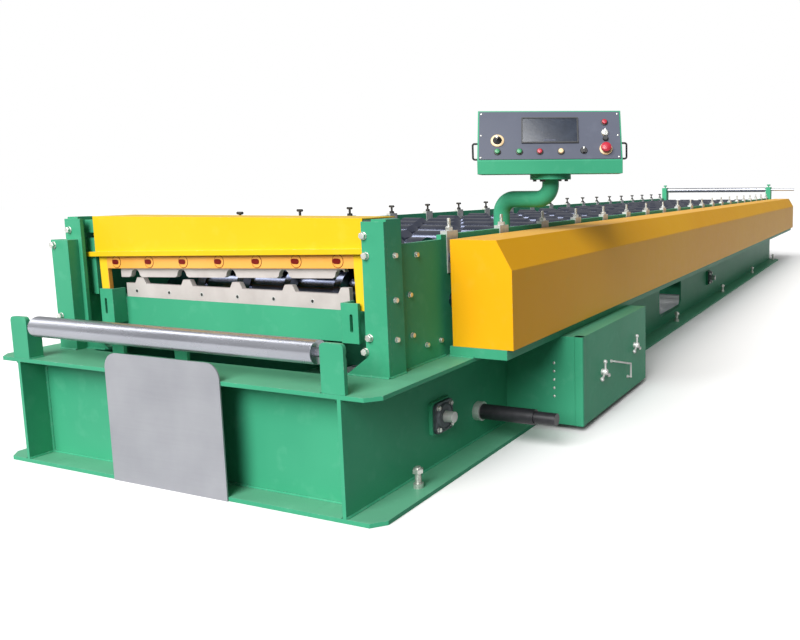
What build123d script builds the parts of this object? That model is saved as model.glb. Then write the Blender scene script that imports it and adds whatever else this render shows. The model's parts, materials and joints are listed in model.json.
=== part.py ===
# Roll forming machine for trapezoidal roof sheet.
#
# Frame: X across the machine (right side +X), Y along the machine from the cutter end to the entry end, Z up.
# The origin lies on the floor, on the centre line, below the front edge of the base. All sizes in millimetres.

import os
from math import radians, tan

from build123d import *

os.makedirs("parts", exist_ok=True)

# Base: welded beams on the floor
base_height = 400
base_end_margin = 200  # from the end of the stand walls to the end of the base
web_outer_x = 742
web_thickness = 14
flange_thickness = 14
flange_reach = 124  # from the web's outer face to the flange's edge
corner_chamfer = 40
front_web_setback = 90
cross_flange_depth = 190
member_pitch = 1640
member_count = 4
opening_length = 590
opening_height = 236
opening_radius = 60
opening_y = 3620
opening_z = 194

# Bare plate standing in front of the front beam
plate_width = 531
plate_height = 458
plate_thickness = 5
plate_corner_radius = 55

# Delivery roller and its brackets
roller_radius = 38
roller_half_length = 646
roller_y = 26
roller_z = 519
roller_journal_radius = 15
bracket_inner_x = 672
bracket_width = 88
bracket_depth = 50
bracket_flange = 14
bracket_web = 12
journal_overhang = 14
bracket_height = 156
bracket_corner_radius = 16

# Small stops on the front beam
stop_width = 60
stop_thickness = 12
stop_height = 65
stop_y = 150
stop_positions = (-400, -80)

# Stand walls with bearing blocks. Everything on the stand is drawn about its own middle plane.
stand_shift = 15  # from the middle of the base to the middle of the stand
wall_thickness = 20
wall_outer_x = 730
wall_top_z = 842
wall_front_top_z = 826
wall_step_y = 560
wall_end_margin = 170  # from the last station to the end of the walls
station_count = 20
station_pitch = 400
first_station_y = 630
block_side_lip = 4  # how far a block stands out on both sides of its wall
block_length = 74
block_bottom_z = 700
block_top_z = 854
block_side_gap = 0.3

# Roll shafts
upper_axis_z = 755
journal_radius = 30
bearing_clearance = 0.35
core_radius = 38
roll_half_length = 625
upper_roll_radius = 72
lower_roll_radius = 80
sheet_gap = 5
rib_pitch = 245
rib_shift = 30  # from the middle of the stand to the middle rib
rib_count = 5
rib_half_top = 16
rib_half_base = 30
rib_height = 26
groove_half_base = 36
groove_half_top = 24
groove_depth = 31
core_end_clearance = 12
shaft_end_x = 759

# Adjusting screws on the blocks
screw_radius = 7
screw_height = 44
screw_nut_radius = 17
screw_nut_height = 14
handle_bar_radius = 7
handle_bar_length = 36
bolt_radius = 8
bolt_height = 46

# Cutter columns, strips and outer post
column_inner_x = 690
column_outer_x = 748
column_front_y = 223
column_back_y = 300
column_top_z = 912
strip_inner_x = 660
strip_thickness = 13
strip_top_z = 905
gusset_inner_x = 575
gusset_height = 62
post_outer_x = 775
post_width = 95
post_front_y = 170
post_top_z = 826

# Cutter guard and crosshead
guard_half_width = 638
guard_front_y = 245
guard_thickness = 4
guard_top_z = 914
guard_lip_z = 778
guard_lip_height = 18
guard_lip_reach = 10
guard_lip_end_gap = 2
guard_back_y = 420
crosshead_bottom_z = 850
crosshead_top_z = 900
guide_width = 46
guide_bottom_z = 610
guide_top_z = 830
guide_back_y = 274
running_clearance = 5

# Ram with the upper blade
ram_plate_thickness = 15
rake_angle = 1.75  # the ram, the upper blade and the lip rise to the right
ram_side_clearance = 12
ram_band_bottom_z = 730
ram_top_z = 792
ram_leg_width = 43
ram_leg_bottom_z = 589
ram_beam_depth = 40
ram_beam_height = 18
slot_count = 7
slot_pitch = 177
slot_shift = -10  # from the middle of the stand to the middle slot
slot_length = 26
slot_height = 12
slot_z = 755
rod_radius = 10
rod_root = 12  # depth of the rods in the ram
rod_x = 350
rod_clearance = 0.35
cylinder_radius = 22
cylinder_bottom_z = 812
cylinder_top_z = 904
cylinder_cap = 10  # closed top of each cylinder
rod_end_gap = 20  # from the rod's end to the cylinder's top
blade_half_length = 538
blade_thickness = 18
upper_blade_bottom_z = 695
tooth_half_top = 17
tooth_half_base = 30
tooth_height = 23
notch_half_base = 34
notch_arch_radius = 23
notch_height = 30
shear_clearance = 1.5
lower_blade_bottom_z = 600
lower_blade_top_z = 654

# Beam under the lower blade and its lugs
blade_beam_height = 110
blade_beam_back_y = 345
lug_inner_x = 545
lug_outer_x = 615
lug_bottom_z = 500
lug_top_z = 635
lug_thickness = 12
lug_back_y = 245
lug_slot_width = 12
lug_slot_length = 62
lug_slot_shift = 6  # from the middle of the lug outwards

# Side covers and the shelves below them
cover_inner_x = 764
cover_outer_x = 1011
cover_front_y = 563
cover_overhang = 150  # beyond the end of the base
cover_top_z = 826
cover_chamfer_width = 60
cover_chamfer_height = 105
shelf_height = 37
shelf_sheet = 5
shelf_inner_x = 750
shelf_outer_x = 985
shelf_leg_x = 835

# Cabinet, lever, handles and cylinder on the right side
cabinet_outer_x = 1095
cabinet_front_y = 1030
cabinet_back_y = 1880
cabinet_bottom_z = 26
cabinet_flange_gap = 4
star_hub_radius = 14
star_hub_length = 26
star_spoke_radius = 6
star_spoke_length = 46
star_knob_radius = 10
star_places = ((1250, 206), (1690, 236))
lever_bar = 10
lever_start = (1360, 229)
lever_knee = (1585, 168)
lever_end_z = 104
lever_standoff = 14
strut_y = 780
strut_z = 130
strut_collar_radius = 38
strut_collar_length = 28
strut_radius = 30
strut_thick_end_x = 1000
strut_thin_radius = 24
strut_end_x = 1090

# Drive shafts across the base with their flange bearings
drive_shaft_radius = 20
drive_shaft_stub = 38
drive_shaft_places = ((510, 190), (4850, 190))
bearing_plate_size = 124
bearing_plate_thickness = 14
bearing_boss_radius = 42
bearing_boss_height = 16

# Anchor bolts
anchor_radius = 10
anchor_hole_radius = 11
anchor_height = 86
anchor_nut_radius = 17
anchor_nut_height = 16
anchor_x = 804
anchor_first_y = 285
anchor_last_margin = 115  # from the last bolt to the end of the base
anchor_count = 6

# Control panel and its arm
arm_radius = 35
arm_foot_y = 1125
arm_foot_z = 690
arm_foot_width = 90
arm_foot_height = 130
arm_foot_thickness = 8
arm_run_z = 959
arm_bend_radius = 62
arm_top_z = 1040
panel_x = 905
swivel_flange_radius = 85
swivel_flange_thickness = 9
panel_turn = 25
panel_width = 585
panel_bottom_z = 1062
panel_lip_height = 52
panel_total_height = 258
panel_depth = 200
panel_top_depth = 105
panel_front = 100  # from the swivel axis to the front of the lip
face_thickness = 3
face_margin = 6
screen_width = 227
screen_height = 106
screen_thickness = 4
screen_v = 92
button_radius = 13
button_height = 12
button_places = ((-212, 188), (-124, 188), (-42, 188), (44, 188), (136, 184), (224, 56), (224, 110))
joystick_place = (-212, 138)
joystick_ring_radius = 27
joystick_ring_height = 5
joystick_boot_radius = 15
joystick_boot_height = 22
joystick_stick_radius = 5
joystick_stick_height = 40
stop_button_place = (226, 178)
stop_button_base_radius = 26
stop_button_base_height = 6
stop_button_stem_radius = 12
stop_button_stem_height = 14
stop_button_cap_radius = 21
stop_button_cap_height = 14
handle_length = 64
handle_reach = 26
handle_radius = 4

# Entry guide at the far end
entry_post_inner_x = 685
entry_post_width = 62
entry_post_depth = 110
entry_post_margin = 110  # from the middle of the posts to the end of the base
entry_post_top_z = 985
entry_roller_z = 950
entry_roller_radius = 30
entry_roller_gap = 15
entry_journal_radius = 14
entry_rod_end_x = 1045
entry_knob_radius = 22
entry_knob_length = 18

# Places worked out from the sizes above
stations = [first_station_y + i * station_pitch for i in range(station_count)]
wall_end_y = stations[-1] + wall_end_margin
base_length = wall_end_y + base_end_margin
entry_post_y = base_length - entry_post_margin
cover_back_y = base_length + cover_overhang
cabinet_top_z = base_height
anchor_pitch = (base_length - anchor_last_margin - anchor_first_y) / (anchor_count - 1)
web_middle_x = web_outer_x - web_thickness / 2
web_inner_x = web_outer_x - web_thickness
flange_outer_x = web_outer_x + flange_reach
flange_inner_x = web_inner_x - flange_reach
wall_inner_x = wall_outer_x - wall_thickness
wall_start_y = column_back_y
ribs = [rib_shift + (i - (rib_count - 1) / 2) * rib_pitch for i in range(rib_count)]
lower_axis_z = upper_axis_z - upper_roll_radius - sheet_gap - lower_roll_radius
core_end_x = wall_inner_x - core_end_clearance
guard_panel_back_y = guard_front_y + guard_thickness
ram_front_y = guard_panel_back_y + running_clearance
ram_back_y = ram_front_y + ram_plate_thickness
upper_blade_back_y = ram_back_y + blade_thickness
lower_blade_front_y = upper_blade_back_y + shear_clearance
rod_y = (guard_panel_back_y + column_back_y) / 2
shelf_top_z = base_height + shelf_height
bearing_depth = bearing_plate_thickness + bearing_boss_height
anchor_ys = [anchor_first_y + i * anchor_pitch for i in range(anchor_count)]
lip_rise = guard_half_width * tan(radians(rake_angle))
rod_rise = rod_x * tan(radians(rake_angle))
sides = (1, -1)


def save(piece, name):
    piece.label = name
    export_step(piece, f"parts/{name}.step")


def save_on_stand(piece, name):
    """Saves a piece that is drawn about the middle plane of the stand."""
    save(Pos(stand_shift, 0, 0) * piece, name)


def raked(piece):
    """Returns the piece turned about the middle slot of the ram, so that its right end rises."""
    return piece.rotate(Axis((0, 0, slot_z), (0, 1, 0)), -rake_angle)


def both_sides(piece):
    """Returns the piece of the right side together with its mirror image on the left."""
    return Compound([piece, mirror(piece, about=Plane.YZ)])


# Side beams: webs and flanges, with an access opening and the anchor holes
with BuildPart() as side_beam:
    with BuildSketch(Plane.XZ) as beam_section:
        with Locations((web_middle_x, base_height / 2)):
            Rectangle(web_thickness, base_height)
        with Locations(
            (web_middle_x, flange_thickness / 2), (web_middle_x, base_height - flange_thickness / 2)
        ):
            Rectangle(flange_outer_x - flange_inner_x, flange_thickness)
    extrude(amount=-base_length)
    outer_corners = side_beam.edges().filter_by(Axis.Z).group_by(Axis.X)[-1]
    chamfer(outer_corners, corner_chamfer)
    with BuildSketch(Plane.YZ.offset(web_inner_x)):
        with Locations((opening_y, opening_z)):
            RectangleRounded(opening_length, opening_height, opening_radius)
        with Locations(*drive_shaft_places):
            Circle(drive_shaft_radius + bearing_clearance)
    extrude(amount=web_thickness, mode=Mode.SUBTRACT)
    with Locations(*[(anchor_x, y, 0) for y in anchor_ys]):
        Cylinder(
            anchor_hole_radius,
            flange_thickness,
            align=(Align.CENTER, Align.CENTER, Align.MIN),
            mode=Mode.SUBTRACT,
        )
save(both_sides(side_beam.part), "side_beams")


def cross_beam(outer_y, inward):
    """Returns the beam that closes the base at one end: a set-back web with two flanges."""
    with BuildPart() as beam:
        web_y = outer_y + inward * (front_web_setback + web_thickness / 2)
        with Locations((0, web_y, base_height / 2)):
            Box(2 * web_inner_x, web_thickness, base_height - 2 * flange_thickness)
        flange_y = outer_y + inward * cross_flange_depth / 2
        with Locations(
            (0, flange_y, flange_thickness / 2), (0, flange_y, base_height - flange_thickness / 2)
        ):
            Box(2 * flange_inner_x, cross_flange_depth, flange_thickness)
    return beam.part


# Cross beams at both ends, with two small stops welded on the front one
with BuildPart() as cross_beams:
    add(cross_beam(0, 1))
    add(cross_beam(base_length, -1))
    with Locations(*[(x, stop_y, base_height) for x in stop_positions]):
        Box(stop_width, stop_thickness, stop_height, align=(Align.CENTER, Align.CENTER, Align.MIN))
save(cross_beams.part, "cross_beams")

# Cross members: plates between the webs
with BuildPart() as cross_members:
    with Locations(*[(0, (i + 1) * member_pitch, base_height / 2) for i in range(member_count)]):
        Box(2 * web_inner_x, web_thickness, base_height - 2 * flange_thickness)
save(cross_members.part, "cross_members")

# Bare plate in front of the front beam
with BuildPart() as front_plate:
    with BuildSketch(Plane.XZ):
        Rectangle(plate_width, plate_height, align=(Align.CENTER, Align.MIN))
    extrude(amount=plate_thickness)
    top_corners = front_plate.edges().filter_by(Axis.Y).group_by(Axis.Z)[-1]
    fillet(top_corners, plate_corner_radius)
save(front_plate.part, "front_plate")

# Brackets of the delivery roller: a front flange and a web that carries the journal
with BuildPart() as roller_bracket:
    with BuildSketch(Plane.XZ):
        with Locations((bracket_inner_x + bracket_width / 2, base_height)):
            Rectangle(bracket_width, bracket_height, align=(Align.CENTER, Align.MIN))
    extrude(amount=-bracket_flange)
    fillet(roller_bracket.edges().filter_by(Axis.Y).group_by(Axis.Z)[-1], bracket_corner_radius)
    with Locations((bracket_inner_x, bracket_flange, base_height)):
        Box(
            bracket_web,
            bracket_depth - bracket_flange,
            bracket_height - bracket_corner_radius,
            align=(Align.MIN, Align.MIN, Align.MIN),
        )
    with BuildSketch(Plane.YZ.offset(bracket_inner_x)):
        with Locations((roller_y, roller_z)):
            Circle(roller_journal_radius + bearing_clearance)
    extrude(amount=bracket_width, mode=Mode.SUBTRACT)
save(both_sides(roller_bracket.part), "roller_brackets")

# Delivery roller with its journals
with BuildPart() as delivery_roller:
    with BuildSketch(Plane.YZ):
        with Locations((roller_y, roller_z)):
            Circle(roller_radius)
    extrude(amount=roller_half_length, both=True)
    with BuildSketch(Plane.YZ):
        with Locations((roller_y, roller_z)):
            Circle(roller_journal_radius)
    extrude(amount=bracket_inner_x + bracket_web + journal_overhang, both=True)
save(delivery_roller.part, "delivery_roller")

# Stand walls with a notch and a lower bearing bore at each station
with BuildPart() as stand_wall:
    with BuildSketch(Plane.YZ.offset(wall_inner_x)):
        with Locations((wall_start_y, base_height)):
            Rectangle(
                wall_end_y - wall_start_y, wall_front_top_z - base_height, align=(Align.MIN, Align.MIN)
            )
        with Locations((wall_step_y, base_height)):
            Rectangle(
                wall_end_y - wall_step_y, wall_top_z - base_height, align=(Align.MIN, Align.MIN)
            )
        with Locations(*[(y, block_bottom_z) for y in stations]):
            Rectangle(
                block_length + 2 * block_side_gap,
                wall_top_z - block_bottom_z,
                align=(Align.CENTER, Align.MIN),
                mode=Mode.SUBTRACT,
            )
        with Locations(*[(y, lower_axis_z) for y in stations]):
            Circle(journal_radius + bearing_clearance, mode=Mode.SUBTRACT)
    extrude(amount=wall_thickness)
save_on_stand(both_sides(stand_wall.part), "stand_walls")

# Bearing blocks of the upper shafts
block_middle_x = wall_outer_x - wall_thickness / 2
with BuildPart() as bearing_blocks:
    with BuildSketch(Plane.YZ.offset(block_middle_x)):
        with Locations(*[(y, block_bottom_z) for y in stations]):
            Rectangle(block_length, block_top_z - block_bottom_z, align=(Align.CENTER, Align.MIN))
        with Locations(*[(y, upper_axis_z) for y in stations]):
            Circle(journal_radius + bearing_clearance, mode=Mode.SUBTRACT)
    extrude(amount=wall_thickness / 2 + block_side_lip, both=True)
save_on_stand(both_sides(bearing_blocks.part), "bearing_blocks")

# Adjusting screws on the blocks: T handles on the left row, plain bolts on the right row
with BuildPart() as adjusting_screws:
    with Locations(*[(-block_middle_x, y, block_top_z) for y in stations]):
        Cylinder(screw_nut_radius, screw_nut_height, align=(Align.CENTER, Align.CENTER, Align.MIN))
        Cylinder(screw_radius, screw_height, align=(Align.CENTER, Align.CENTER, Align.MIN))
    with Locations(*[(-block_middle_x, y, block_top_z + screw_height) for y in stations]):
        Cylinder(handle_bar_radius, handle_bar_length, rotation=(0, 90, 0))
    with Locations(*[(block_middle_x, y, block_top_z) for y in stations]):
        Cylinder(screw_nut_radius, screw_nut_height, align=(Align.CENTER, Align.CENTER, Align.MIN))
        Cylinder(bolt_radius, bolt_height, align=(Align.CENTER, Align.CENTER, Align.MIN))
save_on_stand(adjusting_screws.part, "adjusting_screws")


def roll_shaft_section(roll_radius):
    """Draws half the outline of a plain roll shaft, from its axis outwards."""
    Rectangle(2 * shaft_end_x, journal_radius, align=(Align.CENTER, Align.MIN))
    Rectangle(2 * core_end_x, core_radius, align=(Align.CENTER, Align.MIN))
    Rectangle(2 * roll_half_length, roll_radius, align=(Align.CENTER, Align.MIN))


# Upper roll shafts, each turning in its own blocks, with a groove over each rib
for number, y in enumerate(stations, start=1):
    axis_plane = Plane(origin=(0, y, upper_axis_z), x_dir=(1, 0, 0), z_dir=(0, -1, 0))
    with BuildPart() as upper_shaft:
        with BuildSketch(axis_plane):
            roll_shaft_section(upper_roll_radius)
            for rib in ribs:
                Polygon(
                    (rib + groove_half_base, upper_roll_radius),
                    (rib + groove_half_top, upper_roll_radius - groove_depth),
                    (rib - groove_half_top, upper_roll_radius - groove_depth),
                    (rib - groove_half_base, upper_roll_radius),
                    align=None,
                    mode=Mode.SUBTRACT,
                )
        revolve(axis=Axis((0, y, upper_axis_z), (1, 0, 0)))
    save_on_stand(upper_shaft.part, f"upper_shaft_{number:02d}")

# Lower roll shafts
with BuildPart() as lower_shafts:
    for y in stations:
        axis_plane = Plane(origin=(0, y, lower_axis_z), x_dir=(1, 0, 0), z_dir=(0, -1, 0))
        with BuildSketch(axis_plane):
            roll_shaft_section(lower_roll_radius)
        revolve(axis=Axis((0, y, lower_axis_z), (1, 0, 0)))
save_on_stand(lower_shafts.part, "lower_shafts")

# Rings shrunk on the lower rolls, which press the ribs into the sheet
with BuildPart() as rib_rings:
    for y in stations:
        axis_plane = Plane(origin=(0, y, lower_axis_z), x_dir=(1, 0, 0), z_dir=(0, -1, 0))
        with BuildSketch(axis_plane):
            for rib in ribs:
                Polygon(
                    (rib + rib_half_base, lower_roll_radius),
                    (rib + rib_half_top, lower_roll_radius + rib_height),
                    (rib - rib_half_top, lower_roll_radius + rib_height),
                    (rib - rib_half_base, lower_roll_radius),
                    align=None,
                )
        revolve(axis=Axis((0, y, lower_axis_z), (1, 0, 0)))
save_on_stand(rib_rings.part, "rib_rings")

# Cutter columns with the guide strips of the ram
guide_inner_x = column_inner_x - guide_width
with BuildPart() as column:
    with Locations((column_inner_x, column_front_y, base_height)):
        Box(
            column_outer_x - column_inner_x,
            column_back_y - column_front_y,
            column_top_z - base_height,
            align=(Align.MIN, Align.MIN, Align.MIN),
        )
    with Locations((guide_inner_x, guard_panel_back_y, guide_bottom_z)):
        Box(
            guide_width,
            guide_back_y - guard_panel_back_y,
            guide_top_z - guide_bottom_z,
            align=(Align.MIN, Align.MIN, Align.MIN),
        )

# Outer post in front of the left column
with BuildPart() as outer_post:
    with Locations((-post_outer_x, post_front_y, base_height)):
        Box(
            post_width,
            column_front_y - strip_thickness - post_front_y,
            post_top_z - base_height,
            align=(Align.MIN, Align.MIN, Align.MIN),
        )
left_column = mirror(column.part, about=Plane.YZ)
save_on_stand(Compound([column.part, left_column, outer_post.part]), "cutter_columns")

# Strips on the front of the columns, with a gusset foot towards the middle
with BuildPart() as column_strip:
    with BuildSketch(Plane.XZ.offset(-column_front_y)):
        with BuildLine():
            Polyline(
                (column_outer_x, base_height),
                (column_outer_x, strip_top_z),
                (strip_inner_x, strip_top_z),
                (strip_inner_x, base_height + gusset_height),
                (gusset_inner_x, base_height),
                close=True,
            )
        make_face()
    extrude(amount=strip_thickness)
save_on_stand(both_sides(column_strip.part), "column_strips")

# Crosshead between the columns, bored for the two ram cylinders
with BuildPart() as crosshead:
    with Locations((0, rod_y, (crosshead_bottom_z + crosshead_top_z) / 2)):
        Box(2 * column_inner_x, column_back_y - guard_panel_back_y, crosshead_top_z - crosshead_bottom_z)
    with Locations((-rod_x, rod_y, crosshead_bottom_z), (rod_x, rod_y, crosshead_bottom_z)):
        Cylinder(
            cylinder_radius,
            crosshead_top_z - crosshead_bottom_z,
            align=(Align.CENTER, Align.CENTER, Align.MIN),
            mode=Mode.SUBTRACT,
        )
save_on_stand(crosshead.part, "cutter_crosshead")

# Cylinders that move the ram
with BuildPart() as ram_cylinders:
    with Locations((-rod_x, rod_y, cylinder_bottom_z), (rod_x, rod_y, cylinder_bottom_z)):
        Cylinder(
            cylinder_radius,
            cylinder_top_z - cylinder_bottom_z,
            align=(Align.CENTER, Align.CENTER, Align.MIN),
        )
        Cylinder(
            rod_radius + rod_clearance,
            cylinder_top_z - cylinder_bottom_z - cylinder_cap,
            align=(Align.CENTER, Align.CENTER, Align.MIN),
            mode=Mode.SUBTRACT,
        )
save_on_stand(ram_cylinders.part, "ram_cylinders")

# Guard over the crosshead, with a raked lip between the columns
with BuildPart() as guard_lip:
    with Locations((0, guard_panel_back_y, guard_lip_z)):
        Box(
            2 * (column_inner_x - guard_lip_end_gap),
            guard_thickness + guard_lip_reach,
            guard_lip_height,
            align=(Align.CENTER, Align.MAX, Align.MIN),
        )
with BuildPart() as guard:
    with BuildSketch(Plane.XZ.offset(-guard_front_y)):
        Polygon(
            (-guard_half_width, guard_lip_z - lip_rise),
            (guard_half_width, guard_lip_z + lip_rise),
            (guard_half_width, guard_top_z),
            (-guard_half_width, guard_top_z),
            align=None,
        )
    extrude(amount=-guard_thickness)
    with Locations((0, guard_front_y, guard_top_z)):
        Box(
            2 * guard_half_width,
            guard_back_y - guard_front_y,
            guard_thickness,
            align=(Align.CENTER, Align.MIN, Align.MAX),
        )
    add(raked(guard_lip.part))
save_on_stand(guard.part, "cutter_guard")

# Ram: slotted band with two legs and a beam behind it, hung on two upright rods
ram_half_width = guide_inner_x - ram_side_clearance
with BuildPart() as ram_plate:
    with BuildSketch(Plane.XZ.offset(-ram_front_y)):
        with Locations((0, ram_leg_bottom_z)):
            Rectangle(
                2 * ram_half_width, ram_top_z - ram_leg_bottom_z, align=(Align.CENTER, Align.MIN)
            )
            Rectangle(
                2 * (ram_half_width - ram_leg_width),
                ram_band_bottom_z - ram_leg_bottom_z,
                align=(Align.CENTER, Align.MIN),
                mode=Mode.SUBTRACT,
            )
        slots = [slot_shift + (i - (slot_count - 1) / 2) * slot_pitch for i in range(slot_count)]
        with Locations(*[(x, slot_z) for x in slots]):
            SlotOverall(slot_length, slot_height, mode=Mode.SUBTRACT)
    extrude(amount=-ram_plate_thickness)
    with Locations((0, ram_back_y, ram_top_z)):
        Box(
            2 * ram_half_width,
            ram_beam_depth,
            ram_beam_height,
            align=(Align.CENTER, Align.MIN, Align.MAX),
        )
with BuildPart() as ram:
    add(raked(ram_plate.part))
    for side in sides:
        rod_foot_z = ram_top_z - rod_root + side * rod_rise
        with Locations((side * rod_x, rod_y, rod_foot_z)):
            Cylinder(
                rod_radius,
                cylinder_top_z - rod_end_gap - rod_foot_z,
                align=(Align.CENTER, Align.CENTER, Align.MIN),
            )
save_on_stand(ram.part, "ram_frame")


def blade_outline(bottom_z, top_z):
    """Draws the plain body of a blade."""
    with Locations((0, (bottom_z + top_z) / 2)):
        Rectangle(2 * blade_half_length, top_z - bottom_z)


# Upper blade behind the band of the ram, with an arched notch over each rib
with BuildPart() as upper_blade:
    with BuildSketch(Plane.XZ.offset(-ram_back_y)):
        blade_outline(upper_blade_bottom_z, ram_top_z - ram_beam_height)
        arch_z = upper_blade_bottom_z + notch_height - notch_arch_radius
        for rib in ribs:
            Polygon(
                (rib + notch_half_base, upper_blade_bottom_z),
                (rib + notch_arch_radius, arch_z),
                (rib - notch_arch_radius, arch_z),
                (rib - notch_half_base, upper_blade_bottom_z),
                align=None,
                mode=Mode.SUBTRACT,
            )
        with Locations(*[(rib, arch_z) for rib in ribs]):
            Circle(notch_arch_radius, mode=Mode.SUBTRACT)
    extrude(amount=-blade_thickness)
save_on_stand(raked(upper_blade.part), "upper_blade")

# Lower blade, with a tooth under each rib
with BuildPart() as lower_blade:
    with BuildSketch(Plane.XZ.offset(-lower_blade_front_y)):
        blade_outline(lower_blade_bottom_z, lower_blade_top_z)
        for rib in ribs:
            Polygon(
                (min(rib + tooth_half_base, blade_half_length), lower_blade_top_z),
                (rib + tooth_half_top, lower_blade_top_z + tooth_height),
                (rib - tooth_half_top, lower_blade_top_z + tooth_height),
                (rib - tooth_half_base, lower_blade_top_z),
                align=None,
            )
    extrude(amount=-blade_thickness)
save_on_stand(lower_blade.part, "lower_blade")

# Beam under the lower blade, between the columns, with a slotted lug welded on near each end
lug_slot_x = (lug_inner_x + lug_outer_x) / 2 + lug_slot_shift
lug_middle_z = (lug_bottom_z + lug_top_z) / 2
with BuildPart() as blade_lug:
    with BuildSketch(Plane.XZ.offset(-lug_back_y)):
        with Locations((lug_inner_x, lug_bottom_z)):
            Rectangle(lug_outer_x - lug_inner_x, lug_top_z - lug_bottom_z, align=(Align.MIN, Align.MIN))
        with Locations((lug_slot_x, lug_middle_z)):
            SlotOverall(lug_slot_length, lug_slot_width, rotation=90, mode=Mode.SUBTRACT)
    extrude(amount=lug_thickness)
    with Locations((lug_inner_x, lug_back_y, lug_bottom_z)):
        Box(
            lug_thickness,
            lower_blade_front_y - lug_back_y,
            lug_top_z - lug_bottom_z,
            align=(Align.MIN, Align.MIN, Align.MIN),
        )
with BuildPart() as blade_beam:
    with Locations((0, lower_blade_front_y, lower_blade_bottom_z)):
        Box(
            2 * column_inner_x,
            blade_beam_back_y - lower_blade_front_y,
            blade_beam_height,
            align=(Align.CENTER, Align.MIN, Align.MAX),
        )
    add(blade_lug.part)
    add(mirror(blade_lug.part, about=Plane.YZ))
save_on_stand(blade_beam.part, "blade_beam")

# Shelves that carry the side covers: folded channels on the top flanges
with BuildPart() as shelf:
    with BuildSketch(Plane.XZ.offset(-cover_front_y)):
        with Locations((shelf_inner_x, shelf_top_z)):
            Rectangle(shelf_outer_x - shelf_inner_x, shelf_sheet, align=(Align.MIN, Align.MAX))
        with Locations((shelf_inner_x, base_height), (shelf_leg_x, base_height)):
            Rectangle(shelf_sheet, shelf_height, align=(Align.MIN, Align.MIN))
        with Locations((shelf_outer_x, base_height)):
            Rectangle(shelf_sheet, shelf_height, align=(Align.MAX, Align.MIN))
    extrude(amount=-(cover_back_y - cover_front_y))
    with Locations((shelf_inner_x, cover_front_y, base_height)):
        Box(
            shelf_outer_x - shelf_inner_x,
            shelf_sheet,
            shelf_height,
            align=(Align.MIN, Align.MIN, Align.MIN),
        )
save_on_stand(both_sides(shelf.part), "cover_shelves")

# Side cover: a long closed housing with a chamfered outer edge
with BuildPart() as side_cover:
    with BuildSketch(Plane.XZ.offset(-cover_front_y)):
        with BuildLine():
            Polyline(
                (cover_inner_x, shelf_top_z),
                (cover_inner_x, cover_top_z),
                (cover_outer_x - cover_chamfer_width, cover_top_z),
                (cover_outer_x, cover_top_z - cover_chamfer_height),
                (cover_outer_x, shelf_top_z),
                close=True,
            )
        make_face()
    extrude(amount=-(cover_back_y - cover_front_y))
save_on_stand(both_sides(side_cover.part), "side_covers")

# Cabinet low on the right side: a box with a neck that reaches between the flanges to the web
with BuildPart() as cabinet:
    neck_bottom_z = flange_thickness + cabinet_flange_gap
    neck_top_z = base_height - flange_thickness - cabinet_flange_gap
    with Locations((web_outer_x, cabinet_front_y, max(cabinet_bottom_z, neck_bottom_z))):
        Box(
            cabinet_outer_x - web_outer_x,
            cabinet_back_y - cabinet_front_y,
            neck_top_z - max(cabinet_bottom_z, neck_bottom_z),
            align=(Align.MIN, Align.MIN, Align.MIN),
        )
    with Locations((flange_outer_x + cabinet_flange_gap, cabinet_front_y, cabinet_bottom_z)):
        Box(
            cabinet_outer_x - flange_outer_x - cabinet_flange_gap,
            cabinet_back_y - cabinet_front_y,
            cabinet_top_z - cabinet_bottom_z,
            align=(Align.MIN, Align.MIN, Align.MIN),
        )
save(cabinet.part, "side_cabinet")

# Handles on the cabinet
with BuildPart() as cabinet_handles:
    # Star handles: a hub with three knobbed spokes
    for star_y, star_z in star_places:
        hub_plane = Plane(origin=(cabinet_outer_x, star_y, star_z), x_dir=(0, 1, 0), z_dir=(1, 0, 0))
        with BuildSketch(hub_plane):
            Circle(star_hub_radius)
        extrude(amount=star_hub_length)
        spoke_plane = hub_plane.offset(star_hub_length - star_knob_radius)
        with Locations(spoke_plane):
            with PolarLocations(star_spoke_length, 3, start_angle=90):
                Sphere(star_knob_radius)
            with PolarLocations(star_spoke_length / 2, 3, start_angle=90):
                Cylinder(star_spoke_radius, star_spoke_length, rotation=(0, 90, 0))

    # Lever between the star handles: a bent bar on two standoffs
    lever_plane = Plane(
        origin=(cabinet_outer_x + lever_standoff, 0, 0), x_dir=(0, 1, 0), z_dir=(1, 0, 0)
    )
    with BuildSketch(lever_plane):
        with BuildLine():
            Polyline(lever_start, lever_knee, (lever_knee[0], lever_end_z))
            offset(amount=lever_bar / 2)
        make_face()
    extrude(amount=lever_bar)
    with BuildSketch(Plane.YZ.offset(cabinet_outer_x)):
        with Locations(lever_start, (lever_knee[0], lever_end_z)):
            Circle(lever_bar / 2)
    extrude(amount=lever_standoff)
save(cabinet_handles.part, "cabinet_handles")

# Cylinder with a collar on the right web
with BuildPart() as strut:
    with BuildSketch(Plane.YZ.offset(web_outer_x)):
        with Locations((strut_y, strut_z)):
            Circle(strut_radius)
    extrude(amount=strut_thick_end_x - web_outer_x)
    with BuildSketch(Plane.YZ.offset(strut_thick_end_x)):
        with Locations((strut_y, strut_z)):
            Circle(strut_thin_radius)
    extrude(amount=strut_end_x - strut_thick_end_x)
save(strut.part, "side_cylinder")
with BuildPart() as strut_collar:
    with BuildSketch(Plane.YZ.offset(web_outer_x)):
        with Locations((strut_y, strut_z)):
            Circle(strut_collar_radius)
            Circle(strut_radius, mode=Mode.SUBTRACT)
    extrude(amount=strut_collar_length)
save(strut_collar.part, "cylinder_collar")

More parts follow.
